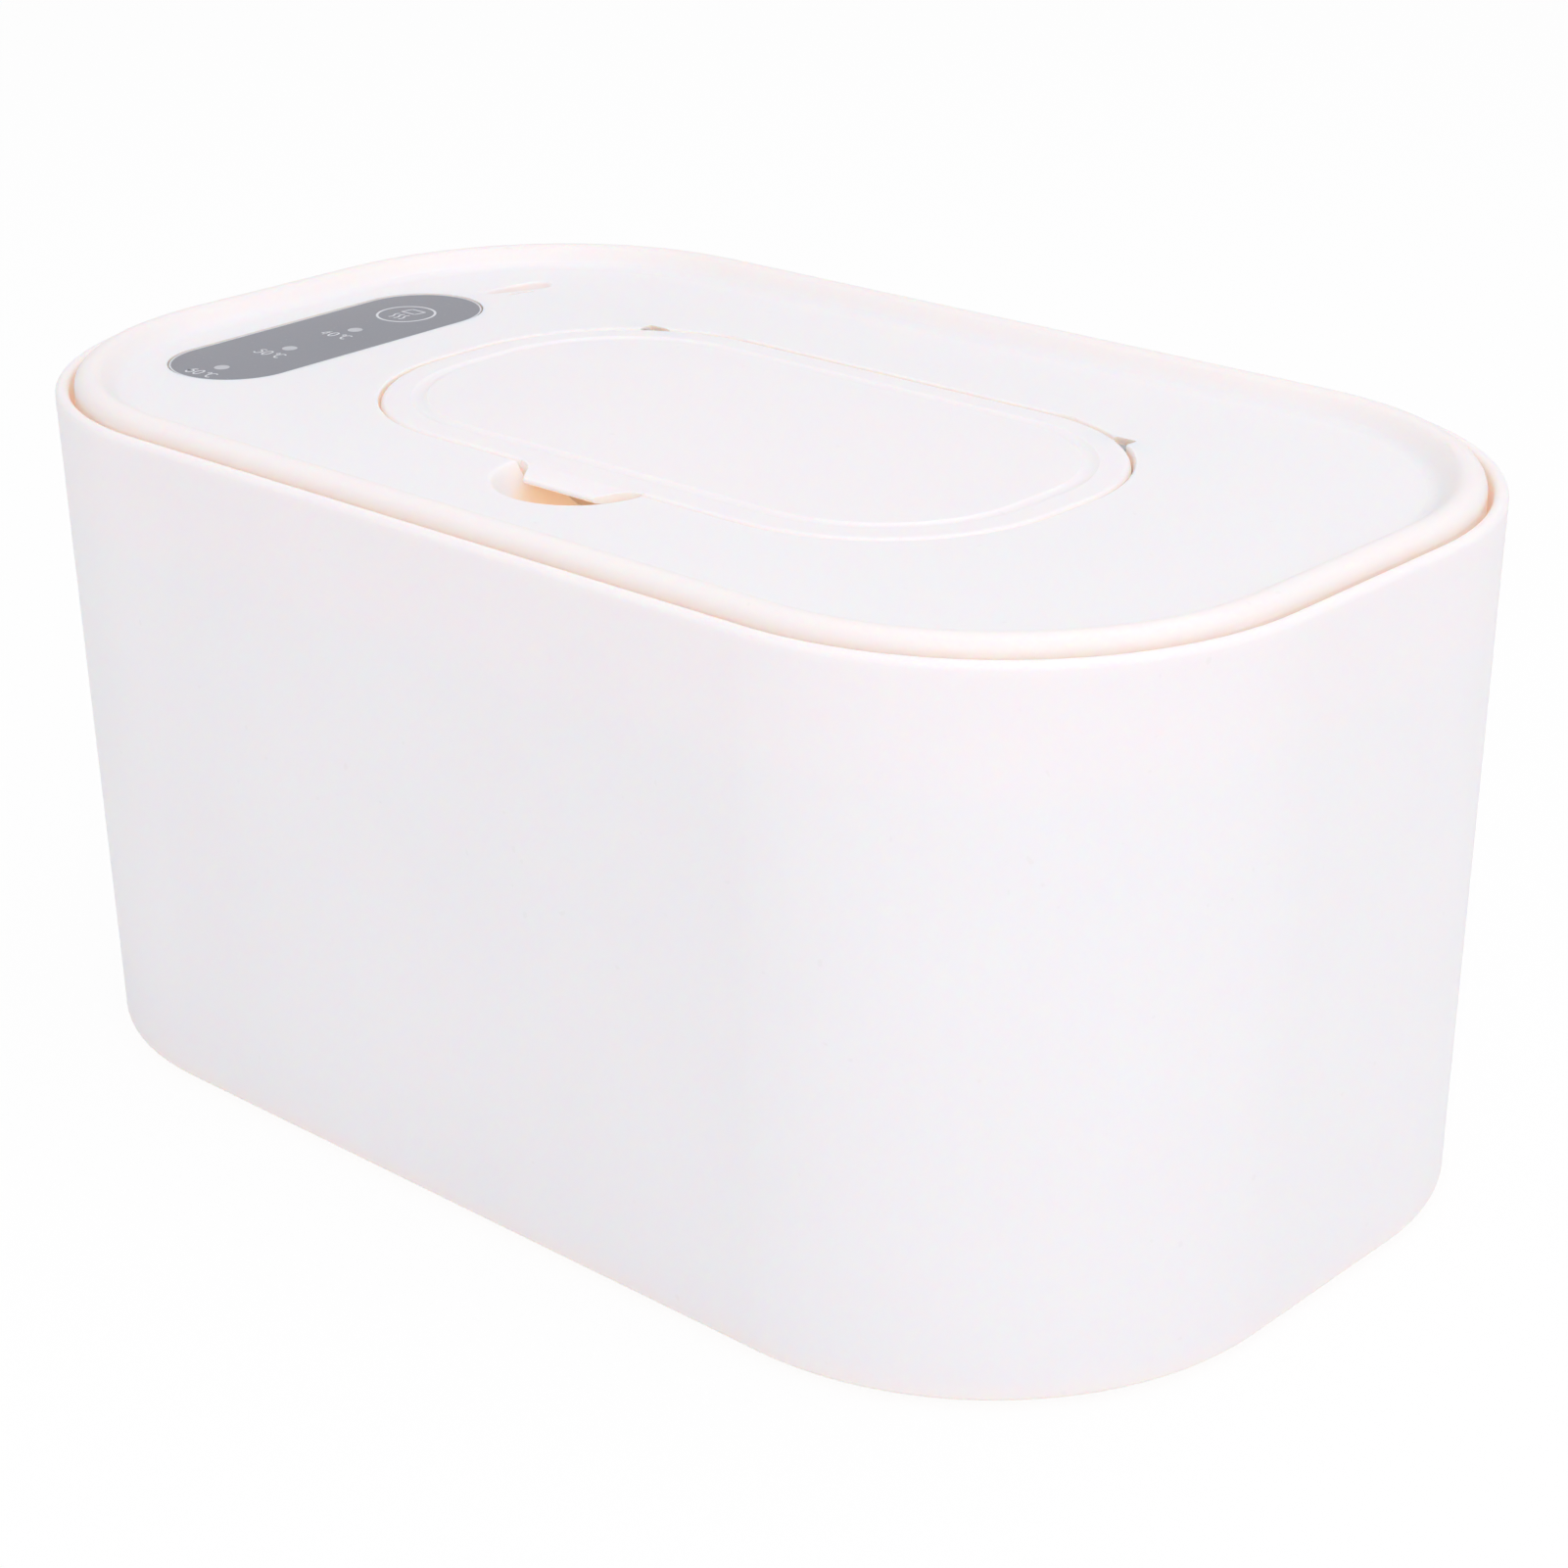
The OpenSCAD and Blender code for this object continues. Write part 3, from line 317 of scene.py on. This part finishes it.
shell_plastic = moulded_plastic("shell_plastic", IVORY, GAP_PAINTED_SHADE, 0.38)
# The liner's own colour, then a warm painted shade for its deep gaps.
liner_plastic = moulded_plastic(
    "liner_plastic", rgb(0.86, 0.85, 0.84), rgb(0.90, 0.78, 0.68), 0.45
)
seal_silicone = plain_finish(
    "seal_silicone", rgb(0.74, 0.74, 0.73), rgb(0.70, 0.70, 0.69), 0.55, 40.0
)
foot_rubber = plain_finish(
    "foot_rubber", rgb(0.20, 0.20, 0.205), rgb(0.16, 0.16, 0.165), 0.75, 60.0
)
sheet_aluminium = plain_finish(
    "sheet_aluminium", rgb(0.76, 0.77, 0.78), rgb(0.70, 0.71, 0.72), 0.35, 50.0, 1.0
)
plated_steel = plain_finish(
    "plated_steel", rgb(0.62, 0.63, 0.64), rgb(0.55, 0.56, 0.57), 0.30, 80.0, 1.0
)
plated_brass = plain_finish(
    "plated_brass", rgb(0.80, 0.62, 0.30), rgb(0.72, 0.55, 0.26), 0.28, 80.0, 1.0
)
amber_film = plain_finish(
    "amber_film", rgb(0.60, 0.30, 0.08), rgb(0.52, 0.25, 0.06), 0.35, 60.0
)
grey_foam = plain_finish(
    "grey_foam", rgb(0.42, 0.43, 0.45), rgb(0.34, 0.35, 0.37), 0.95, 180.0, relief=0.3
)
black_plastic = plain_finish(
    "black_plastic", rgb(0.035, 0.035, 0.038), rgb(0.045, 0.045, 0.05), 0.5, 90.0
)
green_board = plain_finish(
    "green_board", rgb(0.05, 0.22, 0.11), rgb(0.04, 0.18, 0.09), 0.35, 120.0
)
lead_sleeve = plain_finish(
    "lead_sleeve", rgb(0.16, 0.16, 0.17), rgb(0.13, 0.13, 0.14), 0.55, 200.0
)
lamp_resin = plain_finish(
    "lamp_resin", rgb(0.82, 0.80, 0.66), rgb(0.78, 0.76, 0.62), 0.35, 300.0
)
smoked_panel = panel_sheet("smoked_panel")
light_guide = clear_plastic("light_guide")
print_ink = plain_finish(
    "print_ink", rgb(0.72, 0.73, 0.77), rgb(0.68, 0.69, 0.73), 0.45, 900.0, relief=0.004
)
lamp_window = plain_finish(
    "lamp_window", rgb(0.50, 0.51, 0.55), rgb(0.54, 0.55, 0.59), 0.40, 900.0, relief=0.004
)

FINISH = {
    "shell_plastic": shell_plastic,
    "liner_plastic": liner_plastic,
    "spreader_metal": sheet_aluminium,
    "film": amber_film,
    "foam": grey_foam,
    "black_plastic": black_plastic,
    "steel": plated_steel,
    "board": green_board,
    "foot_rubber": foot_rubber,
    "brass": plated_brass,
    "lead_sleeve": lead_sleeve,
    "silicone": seal_silicone,
    "panel": smoked_panel,
    "lamp": lamp_resin,
    "clear_plastic": light_guide,
}


def dress_nodes():
    """Gives every node of the frame the finish of its material slot."""
    for part in frame["record"]["subparts"]:
        node = frame["nodes"][part["node"]]
        node.data.materials.clear()
        node.data.materials.append(FINISH[part["material_slot"]])
        for face in node.data.polygons:
            face.use_smooth = True
        node.data.set_sharp_from_angle(angle=math.radians(28))


dress_nodes()


# Prints on the touch panel, and a painted highlight along its edge, in millimetres from
# its middle

panel_low, panel_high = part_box("touch_panel")
PANEL_MID = (panel_low + panel_high) / 2
PANEL_TURN = math.radians(1.8)
PANEL_L, PANEL_W = 62.6, 22.2
PRINT_T = 0.02 * MM


def printed(name, outlines, finish):
    """A print, or the painted highlight on the panel's edge, as one mesh of thin closed
    strips or patches.
    Each outline is a list of points in millimetres in the panel's own frame."""
    ink = bmesh.new()
    top = panel_high.z + PRINT_T
    c, s = math.cos(PANEL_TURN) * MM, math.sin(PANEL_TURN) * MM
    for outline in outlines:
        low = [
            ink.verts.new(
                (PANEL_MID.x + c * x - s * y, PANEL_MID.y + s * x + c * y, panel_high.z)
            )
            for x, y in outline
        ]
        high = [ink.verts.new((v.co.x, v.co.y, top)) for v in low]
        ink.faces.new(high)
        ink.faces.new(list(reversed(low)))
        for i, v in enumerate(low):
            j = (i + 1) % len(low)
            ink.faces.new((v, low[j], high[j], high[i]))
    mesh = bpy.data.meshes.new(name)
    bmesh.ops.recalc_face_normals(ink, faces=ink.faces)
    ink.to_mesh(mesh)
    ink.free()
    mesh.materials.append(finish)
    made = bpy.data.objects.new(name, mesh)
    scene.collection.objects.link(made)
    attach(made, "lid")


def disc(x, y, r):
    steps = 48
    turns = [2 * math.pi * i / steps for i in range(steps)]
    return [(x + r * math.cos(a), y + r * math.sin(a)) for a in turns]


def stroke(points, width):
    """The outline of a line of a width through points, as a closed patch."""
    left, right = [], []
    for i, (x, y) in enumerate(points):
        x0, y0 = points[max(i - 1, 0)]
        x1, y1 = points[min(i + 1, len(points) - 1)]
        length = math.hypot(x1 - x0, y1 - y0)
        nx, ny = -(y1 - y0) / length * width / 2, (x1 - x0) / length * width / 2
        left.append((x + nx, y + ny))
        right.append((x - nx, y - ny))
    return left + right[::-1]


def arc(x, y, rx, ry, start, end, steps=16):
    """Points along an arc of an ellipse, angles in degrees."""
    angles = [math.radians(start + (end - start) * i / steps) for i in range(steps + 1)]
    return [(x + rx * math.cos(a), y + ry * math.sin(a)) for a in angles]


def ring_strips(x, y, r, width):
    """A ring as four arcs that meet end to end."""
    return [stroke(arc(x, y, r, r, a, a + 90), width) for a in (0, 90, 180, 270)]


INK_W = 0.30
DIGIT_W = 1.15
DIGIT_H = 2.2
DIGIT_STEP = 1.75
DEGREE_GAP = 0.35
TEXT_LEFT = -2.4


def digit(which, x, y):
    """The strokes of a digit, its lower left corner at x, y."""
    w, h = DIGIT_W, DIGIT_H
    mid = x + w / 2
    if which == "0":
        return [
            stroke(arc(mid, y + h / 2, w / 2, h / 2, a, a + 180), INK_W)
            for a in (0, 180)
        ]
    if which == "4":
        return [
            stroke([(x + w * 0.72, y), (x + w * 0.72, y + h)], INK_W),
            stroke([(x + w * 0.72, y + h), (x, y + h * 0.3)], INK_W),
            stroke([(x - INK_W / 3, y + h * 0.28), (x + w, y + h * 0.28)], INK_W),
        ]
    if which == "5":
        return [
            stroke([(x + w * 0.92, y + h), (x + w * 0.12, y + h)], INK_W),
            stroke([(x + w * 0.16, y + h), (x + w * 0.06, y + h * 0.5)], INK_W),
            stroke(arc(x + w * 0.42, y + h * 0.34, w * 0.54, h * 0.34, 135, -150), INK_W),
        ]
    return [
        stroke(arc(mid, y + h * 0.32, w / 2, h * 0.32, 0, 180), INK_W),
        stroke(arc(mid, y + h * 0.32, w / 2, h * 0.32, 180, 360), INK_W),
        stroke(
            [
                (x + w * 0.86, y + h * 0.97),
                (x + w * 0.42, y + h * 0.90),
                (x + w * 0.12, y + h * 0.66),
                (x, y + h * 0.32),
            ],
            INK_W,
        ),
    ]


def degree_sign(x, y):
    """The strokes of a degree sign and a C."""
    h = DIGIT_H
    small = 0.30
    sign = [
        stroke(arc(x + small, y + h - small, small, small, a, a + 180, 8), INK_W * 0.7)
        for a in (0, 180)
    ]
    letter = stroke(arc(x + 1.55, y + h / 2, 0.72, h / 2, 52, 308), INK_W)
    return sign + [letter]


def temperature(name, tens, y):
    """A temperature such as 40 degrees, in front of its lamp, to be read along +X."""
    outlines = digit(tens, TEXT_LEFT, y) + digit("0", TEXT_LEFT + DIGIT_STEP, y)
    outlines += degree_sign(TEXT_LEFT + 2 * DIGIT_STEP + DEGREE_GAP, y)
    printed(name, outlines, print_ink)


KEY_Y = 17.7
RING_R = 4.95
RING_W = 0.42
SIGN_W = 0.31
LAMP_X = 0.7
LAMP_Y = [5.2 - 14.7 * i for i in range(3)]
LAMP_R = 1.27
TEXT_DROP = 5.3
for label, tens, lamp_y in zip(("40", "50", "60"), "456", LAMP_Y):
    temperature("print_" + label, tens, lamp_y - TEXT_DROP)
    printed("lamp_window_" + label, [disc(LAMP_X, lamp_y, LAMP_R)], lamp_window)

printed("print_key_ring", ring_strips(0, KEY_Y, RING_R, RING_W), print_ink)


def heat_wave(x, low, high, sway):
    """One wavy line of the heat sign, from front to back."""
    steps = 14
    points = [
        (x + sway * math.sin(2 * math.pi * i / steps), low + (high - low) * i / steps)
        for i in range(steps + 1)
    ]
    return stroke(points, SIGN_W)


def wipe_outline(low, high, half, lean):
    """The outline of a folded wipe above the heat waves, as four strips."""
    corners = [
        (-half - lean, low),
        (half - lean, low),
        (half + lean, high),
        (lean - half, high),
    ]
    return [stroke([corners[i - 1], corners[i]], SIGN_W) for i in range(4)]


printed(
    "print_heat_sign",
    [heat_wave(1.2 * i, KEY_Y - 3.0, KEY_Y - 0.3, 0.30) for i in (-1, 0, 1)]
    + wipe_outline(KEY_Y + 0.7, KEY_Y + 2.8, 1.6, 0.25),
    print_ink,
)


def rim_highlight_strips(width):
    """A painted highlight along the sheet's edge, as four strips that meet end to end."""
    r = (PANEL_W - width) / 2
    half = (PANEL_L - PANEL_W) / 2
    return [
        stroke(arc(0, half, r, r, 0, 180, 32), width),
        stroke([(-r, half), (-r, -half)], width),
        stroke(arc(0, -half, r, r, 180, 360, 32), width),
        stroke([(r, -half), (r, half)], width),
    ]


# Painted highlight: a pale line along the sheet's edge, drawn in print ink.
printed("print_panel_rim", rim_highlight_strips(0.28), print_ink)


# Floor, light and camera

FLOOR_HALF = 6.0
SKY_STRENGTH = 0.70
LAMP_COLOUR = (1.0, 0.995, 1.0)
AIM = Vector((0.0, 0.0, 0.06))


def floor():
    """A pale floor that is white to the camera and keeps the object's soft shadow."""
    mesh = bpy.data.meshes.new("studio_floor")
    far = FLOOR_HALF
    corners = [(-far, -far, 0), (far, -far, 0), (far, far, 0), (-far, far, 0)]
    mesh.from_pydata(corners, [], [(0, 1, 2, 3)])
    made = bpy.data.objects.new("studio_floor", mesh)
    scene.collection.objects.link(made)
    tree = Tree(bpy.data.materials.new("studio_floor"))
    where = tree.out("TexCoord", "Object")
    tone = tree.mix(
        noise(tree, where, 3.0, 2.0), rgb(0.93, 0.93, 0.93), rgb(0.95, 0.95, 0.95)
    )
    matt = tree.out("BsdfDiffuse", "BSDF", color=tone)
    white = tree.out("Emission", "Emission", color=WHITE, strength=1.0)
    seen = tree.out("LightPath", "Is Camera Ray")
    mirrored = tree.out("LightPath", "Is Glossy Ray")
    through = tree.out("LightPath", "Is Transmission Ray")
    share = seen * 0.92 + mirrored * 0.5 + through * 0.5
    shader = tree.out("MixShader", "Shader", in_0=share, in_1=matt, in_2=white)
    mesh.materials.append(tree.finish(shader))


def sky():
    """An even white surround, pure white to the camera."""
    tree = Tree(bpy.data.worlds.new("studio"))
    light = tree.out(
        "Background", "Background", color=rgb(0.99, 0.985, 1.0), strength=SKY_STRENGTH
    )
    white = tree.out("Background", "Background", color=WHITE, strength=1.0)
    seen = tree.out("LightPath", "Is Camera Ray")
    shader = tree.out("MixShader", "Shader", in_0=seen, in_1=light, in_2=white)
    scene.world = tree.finish(shader, "OutputWorld")


def soft_box(name, place, size, watts):
    """A square lamp at a place, turned to the object."""
    lamp = bpy.data.lights.new(name, "AREA")
    lamp.shape = "SQUARE"
    lamp.size = size
    lamp.energy = watts
    lamp.color = LAMP_COLOUR
    made = bpy.data.objects.new(name, lamp)
    made.location = place
    made.rotation_mode = "QUATERNION"
    made.rotation_quaternion = (AIM - Vector(place)).to_track_quat("-Z", "Y")
    scene.collection.objects.link(made)


floor()
sky()
soft_box("lamp_above", (0.2, 0.25, 1.3), 1.2, 4.4)
soft_box("lamp_key", (0.9, -1.0, 1.0), 1.2, 6.6)
soft_box("lamp_end", (1.4, 0.1, 0.7), 1.0, 0.9)

BODY_L = 0.230
FOOT = 0.0012
AZIMUTH, ELEVATION, ROLL = (math.radians(a) for a in (42.49, 22.84, -0.54))
SENSOR, FOCAL = 36.0, 78.07
DISTANCE = 2.2596 * BODY_L
TARGET = Vector((0.0839, -0.0553, 0.25)) * BODY_L + Vector((0, 0, FOOT))


def camera():
    """The photograph's viewpoint, with the same field of view."""
    back = Vector(
        (
            math.sin(AZIMUTH) * math.cos(ELEVATION),
            -math.cos(AZIMUTH) * math.cos(ELEVATION),
            math.sin(ELEVATION),
        )
    )
    right = Vector((math.cos(AZIMUTH), math.sin(AZIMUTH), 0))
    up = back.cross(right)
    turned = right * math.cos(ROLL) + up * math.sin(ROLL)
    upright = up * math.cos(ROLL) - right * math.sin(ROLL)
    lens = bpy.data.cameras.new("camera")
    lens.sensor_width = SENSOR
    lens.lens = FOCAL
    made = bpy.data.objects.new("camera", lens)
    place = TARGET + back * DISTANCE
    turn = Matrix((turned, upright, back)).transposed()
    made.matrix_world = Matrix.Translation(place) @ turn.to_4x4()
    scene.collection.objects.link(made)
    scene.camera = made


camera()
scene.view_settings.view_transform = "Standard"
